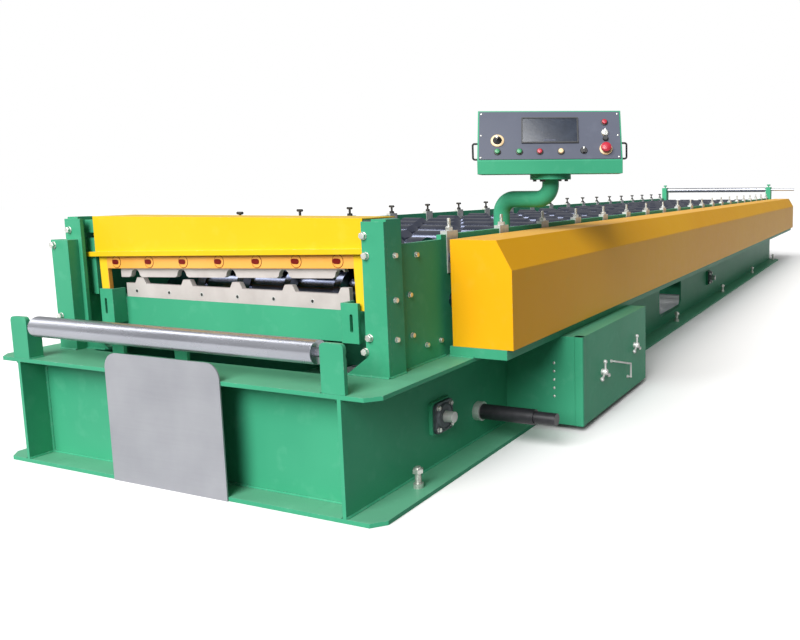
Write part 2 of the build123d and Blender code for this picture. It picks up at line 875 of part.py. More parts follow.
# Flange bearings on the webs
with BuildPart() as flange_bearings:
    with BuildSketch(Plane.YZ.offset(web_outer_x)):
        with Locations(*drive_shaft_places):
            RectangleRounded(bearing_plate_size, bearing_plate_size, bearing_plate_thickness)
    extrude(amount=bearing_plate_thickness)
    with BuildSketch(Plane.YZ.offset(web_outer_x + bearing_plate_thickness)):
        with Locations(*drive_shaft_places):
            Circle(bearing_boss_radius)
    extrude(amount=bearing_boss_height)
    with BuildSketch(Plane.YZ.offset(web_outer_x)):
        with Locations(*drive_shaft_places):
            Circle(drive_shaft_radius + bearing_clearance)
    extrude(amount=bearing_depth, mode=Mode.SUBTRACT)
save(both_sides(flange_bearings.part), "flange_bearings")

# Drive shafts across the base, each turning in its own pair of bearings
for place_name, drive_shaft_place in zip(("front", "rear"), drive_shaft_places):
    with BuildPart() as drive_shaft:
        with BuildSketch(Plane.YZ):
            with Locations(drive_shaft_place):
                Circle(drive_shaft_radius)
        extrude(amount=web_outer_x + bearing_depth + drive_shaft_stub, both=True)
    save(drive_shaft.part, f"drive_shaft_{place_name}")

# Anchor bolts through the bottom flanges
with BuildPart() as anchor_bolts:
    with Locations(*[(anchor_x, y, 0) for y in anchor_ys]):
        Cylinder(anchor_radius, anchor_height, align=(Align.CENTER, Align.CENTER, Align.MIN))
    with Locations(*[(anchor_x, y, flange_thickness) for y in anchor_ys]):
        Cylinder(anchor_nut_radius, anchor_nut_height, align=(Align.CENTER, Align.CENTER, Align.MIN))
save(both_sides(anchor_bolts.part), "anchor_bolts")

# Pipe arm of the control panel, from its foot on the right wall to the swivel
arm_x = wall_inner_x - arm_radius - arm_foot_thickness / 2
with BuildPart() as panel_arm:
    with BuildLine() as arm_path:
        FilletPolyline(
            (arm_x, arm_foot_y, arm_foot_z),
            (arm_x, arm_foot_y, arm_run_z),
            (panel_x, arm_foot_y, arm_run_z),
            (panel_x, arm_foot_y, arm_top_z),
            radius=arm_bend_radius,
        )
    with BuildSketch(Plane.XY.offset(arm_foot_z)):
        with Locations((arm_x, arm_foot_y)):
            Circle(arm_radius)
    sweep()
    with Locations((wall_inner_x, arm_foot_y, arm_foot_z)):
        Box(
            arm_foot_thickness,
            arm_foot_width,
            arm_foot_height,
            align=(Align.MAX, Align.CENTER, Align.MIN),
        )
    with Locations((panel_x, arm_foot_y, arm_top_z)):
        Cylinder(
            swivel_flange_radius,
            swivel_flange_thickness,
            align=(Align.CENTER, Align.CENTER, Align.MIN),
        )
save_on_stand(panel_arm.part, "panel_arm")

# Control panel: a box with a sloped face, turned towards the operator
panel_frame = Plane(origin=(panel_x, arm_foot_y, panel_bottom_z)).rotated((0, 0, panel_turn))
panel_side = Plane(
    origin=panel_frame.origin, x_dir=-panel_frame.y_dir, z_dir=-panel_frame.x_dir
)  # local x points to the operator, local y up
slope_depth = panel_depth - panel_top_depth
with BuildPart() as panel_box:
    with BuildSketch(panel_side):
        with BuildLine():
            Polyline(
                (panel_front, 0),
                (panel_front, panel_lip_height),
                (panel_front - slope_depth, panel_total_height),
                (panel_front - panel_depth, panel_total_height),
                (panel_front - panel_depth, 0),
                close=True,
            )
        make_face()
    extrude(amount=panel_width / 2, both=True)
    with Locations(panel_frame):
        Cylinder(
            swivel_flange_radius,
            panel_bottom_z - arm_top_z - swivel_flange_thickness - bearing_clearance,
            align=(Align.CENTER, Align.CENTER, Align.MAX),
        )
save_on_stand(panel_box.part, "panel_box")

# Plane of the sloped face: local x across, local y down the slope from the top edge
lip_edge = panel_side.from_local_coords((panel_front, panel_lip_height, 0))
top_edge = panel_side.from_local_coords((panel_front - slope_depth, panel_total_height, 0))
slope_vector = lip_edge - top_edge
slope_length = slope_vector.length
face_plane = Plane(
    origin=top_edge,
    x_dir=panel_frame.x_dir,
    z_dir=panel_frame.x_dir.cross(-slope_vector.normalized()),
)


def on_face(u, v, raised=0.0):
    """Returns the plane at a place on the sloped face: u across, v down from the top edge."""
    place = face_plane.from_local_coords((u, -v, face_thickness + raised))
    return Plane(origin=place, x_dir=face_plane.x_dir, z_dir=face_plane.z_dir)


with BuildPart() as panel_face:
    with BuildSketch(face_plane):
        with Locations((0, -slope_length / 2)):
            Rectangle(panel_width - 2 * face_margin, slope_length - 2 * face_margin)
    extrude(amount=face_thickness)
save_on_stand(panel_face.part, "panel_face")

with BuildPart() as screen:
    with BuildSketch(on_face(0, screen_v)):
        Rectangle(screen_width, screen_height)
    extrude(amount=screen_thickness)
save_on_stand(screen.part, "panel_screen")

with BuildPart() as panel_buttons:
    for u, v in button_places:
        with BuildSketch(on_face(u, v)):
            Circle(button_radius)
        extrude(amount=button_height)
save_on_stand(panel_buttons.part, "panel_buttons")

with BuildPart() as joystick:
    with BuildSketch(on_face(*joystick_place)):
        Circle(joystick_ring_radius)
    extrude(amount=joystick_ring_height)
    with BuildSketch(on_face(*joystick_place)):
        Circle(joystick_boot_radius)
    extrude(amount=joystick_boot_height, taper=12)
    with BuildSketch(on_face(*joystick_place)):
        Circle(joystick_stick_radius)
    extrude(amount=joystick_stick_height)
save_on_stand(joystick.part, "panel_joystick")

with BuildPart() as stop_button:
    with BuildSketch(on_face(*stop_button_place)):
        Circle(stop_button_base_radius)
    extrude(amount=stop_button_base_height)
    with BuildSketch(on_face(*stop_button_place)):
        Circle(stop_button_stem_radius)
    extrude(amount=stop_button_stem_height)
    with BuildSketch(on_face(*stop_button_place, raised=stop_button_stem_height)):
        Circle(stop_button_cap_radius)
    extrude(amount=stop_button_cap_height)
save_on_stand(stop_button.part, "emergency_stop")

# Handles on the sides of the panel
with BuildPart() as panel_handles:
    for side in sides:
        foot_x = side * panel_width / 2
        reach_x = foot_x + side * handle_reach
        low_z = panel_lip_height + 10
        high_z = low_z + handle_length
        with BuildLine() as handle_path:
            FilletPolyline(
                panel_frame.from_local_coords((foot_x, 0, low_z)),
                panel_frame.from_local_coords((reach_x, 0, low_z)),
                panel_frame.from_local_coords((reach_x, 0, high_z)),
                panel_frame.from_local_coords((foot_x, 0, high_z)),
                radius=handle_radius * 2,
            )
        start = Plane(origin=handle_path.line @ 0, z_dir=handle_path.line % 0)
        with BuildSketch(start):
            Circle(handle_radius)
        sweep(path=handle_path.line)
save_on_stand(panel_handles.part, "panel_handles")

# Posts of the entry guide, each with a knob on top
entry_post_middle_x = entry_post_inner_x + entry_post_width / 2
with BuildPart() as entry_post:
    with BuildSketch(Plane.YZ.offset(entry_post_inner_x)):
        with Locations((entry_post_y, base_height)):
            Rectangle(
                entry_post_depth, entry_post_top_z - base_height, align=(Align.CENTER, Align.MIN)
            )
        with Locations((entry_post_y, entry_roller_z)):
            Circle(entry_journal_radius + bearing_clearance, mode=Mode.SUBTRACT)
    extrude(amount=entry_post_width)
    with Locations((entry_post_middle_x, entry_post_y, entry_post_top_z)):
        Cylinder(screw_radius, entry_knob_length, align=(Align.CENTER, Align.CENTER, Align.MIN))
    with Locations((entry_post_middle_x, entry_post_y, entry_post_top_z + entry_knob_length)):
        Cylinder(entry_knob_radius, entry_knob_length, align=(Align.CENTER, Align.CENTER, Align.MIN))
save_on_stand(both_sides(entry_post.part), "entry_posts")

# Entry roller with a rod that runs out to the right
entry_post_outer_x = entry_post_inner_x + entry_post_width
with BuildPart() as entry_roller:
    with BuildSketch(Plane.YZ):
        with Locations((entry_post_y, entry_roller_z)):
            Circle(entry_roller_radius)
    extrude(amount=entry_post_inner_x - entry_roller_gap, both=True)
    with BuildSketch(Plane.YZ.offset(-entry_post_outer_x)):
        with Locations((entry_post_y, entry_roller_z)):
            Circle(entry_journal_radius)
    extrude(amount=entry_post_outer_x + entry_rod_end_x)
save_on_stand(entry_roller.part, "entry_roller")
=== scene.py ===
# Roll forming machine: finishes, small parts, light and camera round the CAD frame.
import json
import math

import bmesh
import bpy
from mathutils import Matrix, Vector


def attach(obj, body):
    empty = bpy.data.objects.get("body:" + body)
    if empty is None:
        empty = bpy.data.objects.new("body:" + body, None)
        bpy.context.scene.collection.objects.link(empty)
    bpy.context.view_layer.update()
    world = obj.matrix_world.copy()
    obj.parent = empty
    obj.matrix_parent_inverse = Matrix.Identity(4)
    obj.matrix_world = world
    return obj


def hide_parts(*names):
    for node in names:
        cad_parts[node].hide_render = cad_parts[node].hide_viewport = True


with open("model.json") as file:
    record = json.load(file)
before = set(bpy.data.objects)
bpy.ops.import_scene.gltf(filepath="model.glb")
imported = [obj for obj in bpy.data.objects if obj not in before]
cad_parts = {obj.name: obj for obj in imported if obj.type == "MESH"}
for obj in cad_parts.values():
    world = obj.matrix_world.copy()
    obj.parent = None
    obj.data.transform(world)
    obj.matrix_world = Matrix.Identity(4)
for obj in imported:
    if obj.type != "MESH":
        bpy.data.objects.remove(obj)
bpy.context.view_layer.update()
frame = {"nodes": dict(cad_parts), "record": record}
standMiddleX = 0.015  # the stand and the cutter sit this far right of the middle of the base


def toLinear(hexText):  # sRGB hex to the linear colour that shaders take
    channels = [int(hexText[i : i + 2], 16) / 255 for i in (1, 3, 5)]
    return [c / 12.92 if c <= 0.04045 else ((c + 0.055) / 1.055) ** 2.4 for c in channels] + [1.0]


def perMetre(millimetres):  # texture scale that makes one feature this long
    return 1000.0 / millimetres


def addNode(tree, kind, inputs=None, stops=(), **settings):  # one node with its settings and links
    node = tree.nodes.new("ShaderNode" + kind)
    for name, value in settings.items():
        setattr(node, name, value)
    for name, value in (inputs or {}).items():
        if isinstance(value, bpy.types.NodeSocket):
            tree.links.new(value, node.inputs[name])
        else:
            node.inputs[name].default_value = value
    for number, (position, colour) in enumerate(stops):
        ramp = node.color_ramp.elements
        stop = ramp[number] if number < 2 else ramp.new(position)
        stop.position = position
        stop.color = toLinear(colour) if isinstance(colour, str) else (colour, colour, colour, 1.0)
    return node


# Camera at the photograph's place
photoCamera = {
    "place": (2.2335, -1.7217, 1.0068),
    "yaw": 21.79,  # degrees from +Y towards -X
    "pitch": 6.81,  # degrees down
    "roll": -0.55,
    "lens": 33.52,
    "shiftX": -0.2382,
    "shiftY": -0.0548,
}
cameraData = bpy.data.cameras.new("photoCamera")
cameraData.sensor_width = 36.0
cameraData.lens = photoCamera["lens"]
cameraData.shift_x = photoCamera["shiftX"]
cameraData.shift_y = photoCamera["shiftY"]
cameraObject = bpy.data.objects.new("photoCamera", cameraData)
bpy.context.scene.collection.objects.link(cameraObject)
cameraObject.matrix_world = (
    Matrix.Translation(photoCamera["place"])
    @ Matrix.Rotation(math.radians(photoCamera["yaw"]), 4, "Z")
    @ Matrix.Rotation(math.radians(90 - photoCamera["pitch"]), 4, "X")
    @ Matrix.Rotation(math.radians(photoCamera["roll"]), 4, "Z")
)
bpy.context.scene.camera = cameraObject
bpy.context.scene.view_settings.view_transform = "Standard"
print("camera ready")

# Light: a soft key over the front, a long softbox high on the left, and an even pale room
studio = {
    "keyStrength": 4.7,
    "keyFrom": (0.02, -0.8, 0.6),
    "keyAngle": 45,
    "fill": 0.2,
    "reflected": 0.32,
    "softboxPlace": (-9.0, -1.5, 7.0),
    "softboxSize": (2.2, 16.0),
    "softboxPower": 480.0,
}
keyData = bpy.data.lights.new("keyLight", "SUN")
keyData.energy = studio["keyStrength"]
keyData.angle = math.radians(studio["keyAngle"])
keyObject = bpy.data.objects.new("keyLight", keyData)
keyObject.matrix_world = Vector(studio["keyFrom"]).to_track_quat("Z", "Y").to_matrix().to_4x4()
bpy.context.scene.collection.objects.link(keyObject)

softData = bpy.data.lights.new("softbox", "AREA")
softData.shape = "RECTANGLE"
softData.size, softData.size_y = studio["softboxSize"]
softData.energy = studio["softboxPower"]
softObject = bpy.data.objects.new("softbox", softData)
aimed = (Vector(studio["softboxPlace"]) - Vector((0, 2.5, 0.7))).to_track_quat("Z", "Y")
softObject.matrix_world = Matrix.Translation(studio["softboxPlace"]) @ aimed.to_matrix().to_4x4()
bpy.context.scene.collection.objects.link(softObject)

room = bpy.data.worlds.new("paleRoom")
bpy.context.scene.world = room
room.use_nodes = True
tree = room.node_tree
tree.nodes.clear()
rays = addNode(tree, "LightPath")
reflected = addNode(
    tree,
    "MapRange",
    {
        "Value": rays.outputs["Is Glossy Ray"],
        "To Min": studio["fill"],
        "To Max": studio["reflected"],
    },
)
seen = addNode(
    tree,
    "Math",
    {0: rays.outputs["Is Camera Ray"], 1: rays.outputs["Is Transmission Ray"]},
    operation="MAXIMUM",
)
level = addNode(tree, "Math", {0: seen.outputs[0], 1: reflected.outputs[0]}, operation="MAXIMUM")
glow = addNode(tree, "Background", {"Color": (1, 1, 1, 1), "Strength": level.outputs[0]})
addNode(tree, "OutputWorld", {"Surface": glow.outputs[0]})


def newFinish(name):  # an empty material with its shader and the place in metres
    material = bpy.data.materials.new(name)
    material.use_nodes = True
    tree = material.node_tree
    tree.nodes.clear()
    shader = addNode(tree, "BsdfPrincipled")
    addNode(tree, "OutputMaterial", {"Surface": shader.outputs[0]})
    place = addNode(tree, "TexCoord").outputs["Object"]
    return material, tree, shader, place


def paleFloor():  # matt floor, pale to the eye and darker to bounced light, so it lights little
    material, tree, shader, place = newFinish("paintedConcreteFloor")
    rays = addNode(tree, "LightPath")
    seen = addNode(
        tree,
        "Math",
        {0: rays.outputs["Is Camera Ray"], 1: rays.outputs["Is Glossy Ray"]},
        operation="MAXIMUM",
    )
    colour = addNode(
        tree,
        "Mix",
        {0: seen.outputs[0], 6: toLinear("#707070"), 7: toLinear("#fdfdfd")},
        data_type="RGBA",
    )
    tree.links.new(colour.outputs[2], shader.inputs["Base Color"])
    shader.inputs["Roughness"].default_value = 1.0
    shader.inputs["Specular IOR Level"].default_value = 0.0
    bpy.ops.mesh.primitive_plane_add(size=90, location=(0, 20, 0))
    floor = bpy.context.object
    floor.name = "studioFloor"
    floor.data.materials.append(material)


paleFloor()
print("light and floor ready")


def sprayedEnamel(name, spec):
    # Enamel sprayed on welded steel: orange peel, tone that drifts, rubbed corners, dust on top.
    material, tree, shader, place = newFinish(name)
    drift = addNode(tree, "TexNoise", {"Vector": place, "Scale": perMetre(700), "Detail": 4.0})
    tone = addNode(
        tree,
        "ValToRGB",
        {"Fac": drift.outputs["Fac"]},
        stops=[(0.3, spec["deep"]), (0.7, spec["light"])],
    )
    smudge = addNode(tree, "TexNoise", {"Vector": place, "Scale": perMetre(60), "Detail": 6.0})
    smudgeMask = addNode(
        tree, "ValToRGB", {"Fac": smudge.outputs["Fac"]}, stops=[(0.56, 0.0), (0.78, 0.35)]
    )
    smudged = addNode(
        tree,
        "Mix",
        {0: smudgeMask.outputs[0], 6: tone.outputs[0], 7: toLinear(spec["smudge"])},
        data_type="RGBA",
    )
    surface = addNode(tree, "NewGeometry")
    rounded = addNode(tree, "Bevel", {"Radius": spec["edgeMm"] / 1000}, samples=4)
    facing = addNode(
        tree,
        "VectorMath",
        {0: rounded.outputs[0], 1: surface.outputs["True Normal"]},
        operation="DOT_PRODUCT",
    )
    edge = addNode(
        tree, "MapRange", {"Value": facing.outputs["Value"], "From Min": 0.995, "From Max": 0.8}
    )
    chips = addNode(tree, "TexNoise", {"Vector": place, "Scale": perMetre(14), "Detail": 5.0})
    chipMask = addNode(
        tree, "ValToRGB", {"Fac": chips.outputs["Fac"]}, stops=[(0.55, 0.0), (0.66, 1.0)]
    )
    worn = addNode(
        tree, "Math", {0: edge.outputs[0], 1: chipMask.outputs[0]}, operation="MULTIPLY"
    )
    painted = addNode(
        tree,
        "Mix",
        {0: worn.outputs[0], 6: smudged.outputs[2], 7: toLinear(spec["worn"])},
        data_type="RGBA",
    )
    upward = addNode(tree, "SeparateXYZ", {0: surface.outputs["Normal"]})
    dust = addNode(
        tree,
        "MapRange",
        {"Value": upward.outputs["Z"], "From Min": 0.8, "From Max": 1.0, "To Max": 0.12},
    )
    dusty = addNode(
        tree,
        "Mix",
        {0: dust.outputs[0], 6: painted.outputs[2], 7: toLinear("#c9cbc2")},
        data_type="RGBA",
    )
    coat = dusty.outputs[2]
    if "unshadedEndColour" in spec:  # the outer ends keep the unshaded colour; the base tone between them is painted shade
        across = addNode(tree, "SeparateXYZ", {0: place})
        offset = addNode(
            tree, "Math", {0: across.outputs[0], 1: standMiddleX}, operation="SUBTRACT"
        )
        reach = addNode(tree, "Math", {0: offset.outputs[0]}, operation="ABSOLUTE")
        ends = addNode(
            tree, "Math", {0: reach.outputs[0], 1: spec["sideFrom"]}, operation="GREATER_THAN"
        )
        coat = addNode(
            tree,
            "Mix",
            {0: ends.outputs[0], 6: coat, 7: toLinear(spec["unshadedEndColour"])},
            data_type="RGBA",
        ).outputs[2]
    peel = addNode(tree, "TexNoise", {"Vector": place, "Scale": perMetre(5), "Detail": 2.0})
    relief = addNode(
        tree,
        "Bump",
        {
            "Height": peel.outputs["Fac"],
            "Distance": spec["peelMm"] / 1000,
            "Strength": 0.5,
            "Normal": rounded.outputs[0],
        },
    )
    gloss = addNode(
        tree,
        "MapRange",
        {
            "Value": smudge.outputs["Fac"],
            "To Min": spec["roughness"] - 0.06,
            "To Max": spec["roughness"] + 0.08,
        },
    )
    tree.links.new(coat, shader.inputs["Base Color"])
    tree.links.new(gloss.outputs[0], shader.inputs["Roughness"])
    tree.links.new(relief.outputs[0], shader.inputs["Normal"])
    shader.inputs["IOR"].default_value = 1.5
    shader.inputs["Specular IOR Level"].default_value = 0.12
    return material


def workedSteel(name, spec):
    # Bare steel: tone from heat and oil, on the chrome darkened as painted reflection; tool marks
    # along one axis, smears in the gloss.
    material, tree, shader, place = newFinish(name)
    mottle = addNode(
        tree, "TexNoise", {"Vector": place, "Scale": perMetre(spec["mottleMm"]), "Detail": 6.0}
    )
    tone = addNode(
        tree,
        "ValToRGB",
        {"Fac": mottle.outputs["Fac"]},
        stops=[(0.32, spec["deep"]), (0.68, spec["light"])],
    )
    marks = addNode(
        tree, "VectorMath", {0: place, 1: spec["marksPerMetre"]}, operation="MULTIPLY"
    )
    grooves = addNode(tree, "TexNoise", {"Vector": marks.outputs[0], "Scale": 1.0, "Detail": 3.0})
    rounded = addNode(tree, "Bevel", {"Radius": spec["edgeMm"] / 1000}, samples=4)
    relief = addNode(
        tree,
        "Bump",
        {
            "Height": grooves.outputs["Fac"],
            "Distance": spec["depthMm"] / 1000,
            "Strength": 0.6,
            "Normal": rounded.outputs[0],
        },
    )
    gloss = addNode(
        tree,
        "MapRange",
        {
            "Value": grooves.outputs["Fac"],
            "From Min": 0.25,
            "From Max": 0.75,
            "To Min": spec["roughness"] - 0.05,
            "To Max": spec["roughness"] + 0.07,
        },
    )
    tree.links.new(tone.outputs[0], shader.inputs["Base Color"])
    tree.links.new(gloss.outputs[0], shader.inputs["Roughness"])
    tree.links.new(relief.outputs[0], shader.inputs["Normal"])
    shader.inputs["Metallic"].default_value = spec["metallic"]
    return material


def mouldedPlastic(name, spec):
    # Injection moulded plastic: even colour with a fine spark grain and faint handling marks.
    material, tree, shader, place = newFinish(name)
    grain = addNode(tree, "TexNoise", {"Vector": place, "Scale": perMetre(spec["grainMm"])})
    handled = addNode(tree, "TexNoise", {"Vector": place, "Scale": perMetre(25), "Detail": 3.0})
    tone = addNode(
        tree,
        "ValToRGB",
        {"Fac": handled.outputs["Fac"]},
        stops=[(0.3, spec["deep"]), (0.7, spec["light"])],
    )
    relief = addNode(
        tree, "Bump", {"Height": grain.outputs["Fac"], "Distance": 0.0001, "Strength": 0.4}
    )
    tree.links.new(tone.outputs[0], shader.inputs["Base Color"])
    tree.links.new(relief.outputs[0], shader.inputs["Normal"])
    shader.inputs["Roughness"].default_value = spec["roughness"]
    shader.inputs["IOR"].default_value = 1.5
    return material


enamelSpecs = {
    "greenSprayedEnamel": {
        "deep": "#3c9a75",
        "light": "#48a981",
        "smudge": "#62b391",
        "worn": "#8fb5a2",
        "edgeMm": 3.0,
        "peelMm": 0.25,
        "roughness": 0.42,
    },
    "yellowSprayedEnamel": {
        "deep": "#eeab14",
        "light": "#f2b318",
        "smudge": "#e8b238",
        "worn": "#e8cf8a",
        "edgeMm": 3.0,
        "peelMm": 0.25,
        "roughness": 0.42,
    },
    "lemonSprayedEnamel": {
        "deep": "#eabd1c",
        "light": "#efc524",
        "smudge": "#ecc840",
        "worn": "#efe096",
        "edgeMm": 2.5,
        "peelMm": 0.25,
        "roughness": 0.4,
    },
    # The ram's amber tone is painted shade, standing for the shadow the guard's lip casts on the
    # band; past sideFrom the legs carry the unshaded yellow of the same paint.
    "amberPaintedShadeEnamel": {
        "deep": "#f2a848",
        "light": "#f7b862",
        "smudge": "#f2c07c",
        "worn": "#e0c08a",
        "unshadedEndColour": "#f2c82c",
        "sideFrom": 0.59,
        "edgeMm": 2.0,
        "peelMm": 0.25,
        "roughness": 0.4,
    },
    "darkRedEnamel": {
        "deep": "#6a120c",
        "light": "#7e1c14",
        "smudge": "#8c3a30",
        "worn": "#9a6a60",
        "edgeMm": 0.6,
        "peelMm": 0.1,
        "roughness": 0.4,
    },
    "greyPowderCoat": {
        "deep": "#5a5e6c",
        "light": "#656976",
        "smudge": "#6e7280",
        "worn": "#8a9095",
        "edgeMm": 1.0,
        "peelMm": 0.2,
        "roughness": 0.5,
    },
}
steelSpecs = {
    "hotRolledPlate": {
        "deep": "#94959b",
        "light": "#a2a3a8",
        "mottleMm": 240,
        "marksPerMetre": (6, 60, 160),
        "depthMm": 0.08,
        "edgeMm": 1.0,
        "roughness": 0.55,
        "metallic": 0.3,
    },
    # The chrome's dark blue-grey tone is painted reflection: it stands for dark surroundings
    # mirrored in the rolls.
    "hardChromedSteel": {
        "deep": "#6a7084",
        "light": "#7f8497",
        "mottleMm": 120,
        "marksPerMetre": (200, 5, 5),
        "depthMm": 0.008,
        "edgeMm": 1.5,
        "roughness": 0.18,
        "metallic": 1.0,
    },
    "groundRollerSteel": {
        "deep": "#a2a4ac",
        "light": "#acaeb6",
        "mottleMm": 400,
        "marksPerMetre": (3, 12, 12),
        "depthMm": 0.0003,
        "edgeMm": 1.5,
        "roughness": 0.26,
        "metallic": 0.8,
    },
    "milledSteel": {
        "deep": "#c4c5c3",
        "light": "#dcdcd8",
        "mottleMm": 30,
        "marksPerMetre": (20, 20, 300),
        "depthMm": 0.05,
        "edgeMm": 1.5,
        "roughness": 0.36,
        "metallic": 0.4,
    },
    "groundBladeSteel": {
        "deep": "#c3bab6",
        "light": "#d2cac6",
        "mottleMm": 90,
        "marksPerMetre": (260, 10, 14),
        "depthMm": 0.03,
        "edgeMm": 0.8,
        "roughness": 0.4,
        "metallic": 0.25,
    },
    "zincPlatedSteel": {
        "deep": "#c2c3bd",
        "light": "#e0e0da",
        "mottleMm": 12,
        "marksPerMetre": (150, 150, 150),
        "depthMm": 0.03,
        "edgeMm": 0.6,
        "roughness": 0.3,
        "metallic": 0.7,
    },
    "blackenedSteel": {
        "deep": "#2c2c2b",
        "light": "#464643",
        "mottleMm": 15,
        "marksPerMetre": (150, 150, 150),
        "depthMm": 0.04,
        "edgeMm": 0.6,
        "roughness": 0.42,
        "metallic": 0.5,
    },
    "sandCastIron": {
        "deep": "#3f4549",
        "light": "#575e63",
        "mottleMm": 20,
        "marksPerMetre": (330, 330, 330),
        "depthMm": 0.25,
        "edgeMm": 1.5,
        "roughness": 0.5,
        "metallic": 0.4,
    },
}
plasticSpecs = {
    "extrudedRubber": {"deep": "#1b1a1e", "light": "#28272c", "grainMm": 1.2, "roughness": 0.42},
    "mouldedBlackNylon": {"deep": "#17181a", "light": "#212225", "grainMm": 1.0, "roughness": 0.42},
    "mouldedGreenCap": {"deep": "#1c7a48", "light": "#2f9960", "grainMm": 1.0, "roughness": 0.28},
    "mouldedRedCap": {"deep": "#a81c30", "light": "#c43446", "grainMm": 1.0, "roughness": 0.26},
    "mouldedCreamCap": {"deep": "#e0bc88", "light": "#efd6ac", "grainMm": 1.0, "roughness": 0.3},
    "glossScreenGlass": {"deep": "#262d3a", "light": "#303846", "grainMm": 60.0, "roughness": 0.12},
}
finishes = {name: sprayedEnamel(name, spec) for name, spec in enamelSpecs.items()}
finishes.update({name: workedSteel(name, spec) for name, spec in steelSpecs.items()})
finishes.update({name: mouldedPlastic(name, spec) for name, spec in plasticSpecs.items()})
print("finishes ready", len(finishes))

# Finish of each CAD node, by the record's slot and then by name
slotFinish = {
    "green_paint": "greenSprayedEnamel",
    "yellow_paint": "yellowSprayedEnamel",
    "grey_paint": "greyPowderCoat",
    "bare_steel": "hotRolledPlate",
    "machined_steel": "milledSteel",
    "blade_steel": "groundBladeSteel",
    "polished_steel": "hardChromedSteel",
    "zinc_steel": "zincPlatedSteel",
    "dark_iron": "sandCastIron",
    "black_rubber": "extrudedRubber",
    "black_plastic": "mouldedBlackNylon",
    "button_plastic": "mouldedGreenCap",
    "red_plastic": "mouldedRedCap",
    "screen_glass": "glossScreenGlass",
}
nodeFinish = {
    "flange_bearings": "greenSprayedEnamel",
    "cutter_guard": "lemonSprayedEnamel",
    "ram_frame": "amberPaintedShadeEnamel",
    "delivery_roller": "groundRollerSteel",
    "entry_roller": "groundRollerSteel",
}
for part in frame["record"]["subparts"]:
    node = frame["nodes"][part["node"]]
    finish = finishes[nodeFinish.get(part["node"], slotFinish[part["material_slot"]])]
    node.data.materials.clear()
    node.data.materials.append(finish)
print("frame dressed")


# Shapes: each adds one form to a mesh that a piece is made from
def aim(place, along, turn=0.0):  # a seat whose z points along a direction
    tilt = Vector(along).to_track_quat("Z", "Y").to_matrix().to_4x4()
    return Matrix.Translation(place) @ tilt @ Matrix.Rotation(turn, 4, "Z")


def lathe(mesh, seat, outline, sides=20, coat=0):  # outline is (radius, height) from the foot up
    rings = []
    for radius, height in outline:
        spots = sides if radius else 1
        angles = [2 * math.pi * k / sides for k in range(spots)]
        rings.append(
            [
                mesh.verts.new(seat @ Vector((radius * math.cos(a), radius * math.sin(a), height)))
                for a in angles
            ]
        )
    for low, high in zip(rings, rings[1:]):
        for k in range(sides):
            after = k + 1
            corners = [
                low[k % len(low)],
                low[after % len(low)],
                high[after % len(high)],
                high[k % len(high)],
            ]
            mesh.faces.new(list(dict.fromkeys(corners))).material_index = coat


def prism(mesh, seat, outline, low, high, coat=0):  # outline is (x, y) round the shape
    rings = [[mesh.verts.new(seat @ Vector((x, y, z))) for x, y in outline] for z in (low, high)]
    count = len(outline)
    faces = [rings[0][::-1], rings[1]]
    for k in range(count):
        after = (k + 1) % count
        faces.append([rings[0][k], rings[0][after], rings[1][after], rings[1][k]])
    for corners in faces:
        mesh.faces.new(corners).material_index = coat


def roundedOutline(width, height, radius, steps=5):
    points = []
    corners = ((1, 1, 0), (-1, 1, 90), (-1, -1, 180), (1, -1, 270))
    for signX, signY, startAngle in corners:
        for k in range(steps + 1):
            angle = math.radians(startAngle + 90 * k / steps)
            points.append(
                (
                    signX * (width / 2 - radius) + radius * math.cos(angle),
                    signY * (height / 2 - radius) + radius * math.sin(angle),
                )
            )
    return points


def washer(mesh, seat, across, coat=0):
    rim = across * 0.62
    lathe(
        mesh,
        seat,
        [(0, 0), (rim, 0), (rim, across * 0.07), (rim * 0.95, across * 0.1), (0, across * 0.1)],
        sides=24,
        coat=coat,
    )


def hexHead(mesh, seat, across, foot, height, coat=0):  # six flats with a turned chamfer
    corner = across / math.sqrt(3)
    crown = foot + height
    lathe(
        mesh,
        seat,
        [
            (0, foot),
            (corner, foot),
            (corner, crown - across * 0.07),
            (corner * 0.87, crown),
            (0, crown),
        ],
        sides=6,
        coat=coat,
    )


def hexBolt(mesh, place, along, across, turn=0.35, coat=0):
    seat = aim(place, along, turn)
    washer(mesh, seat, across, coat)
    hexHead(mesh, seat, across, across * 0.1, across * 0.5, coat)


def thread(mesh, seat, radius, foot, crown, pitch, coat=0):
    outline = [(0, foot)]
    height = foot
    while height < crown - pitch:
        outline += [(radius * 0.86, height), (radius, height + pitch / 2)]
        height += pitch
    outline += [(radius * 0.86, height), (radius * 0.7, crown), (0, crown)]
    lathe(mesh, seat, outline, sides=14, coat=coat)


def studNut(mesh, place, along, across, turn=0.35, coat=0):  # a nut run down on a short stud
    seat = aim(place, along, turn)
    washer(mesh, seat, across, coat)
    hexHead(mesh, seat, across, across * 0.1, across * 0.6, coat)
    thread(mesh, seat, across * 0.31, across * 0.6, across * 1.0, across * 0.09, coat)


def weldBead(mesh, start, end, firstSide, secondSide, size=0.006, ripple=0.0045):
    start, end = Vector(start), Vector(end)
    firstSide, secondSide = Vector(firstSide), Vector(secondSide)
    length = (end - start).length
    count = max(2, int(length / ripple))
    before = None
    for k in range(count + 1):
        place = start.lerp(end, k / count)
        swell = size * (1 + 0.14 * math.sin(2.1 * k) + 0.06 * math.sin(0.37 * k))
        ring = [
            mesh.verts.new(place - 0.0005 * (firstSide + secondSide)),
            mesh.verts.new(place + swell * firstSide),
            mesh.verts.new(place + 0.62 * swell * (firstSide + secondSide)),
            mesh.verts.new(place + swell * secondSide),
        ]
        if before:
            for i in range(4):
                j = (i + 1) % 4
                mesh.faces.new((before[i], before[j], ring[j], ring[i]))
        before = ring


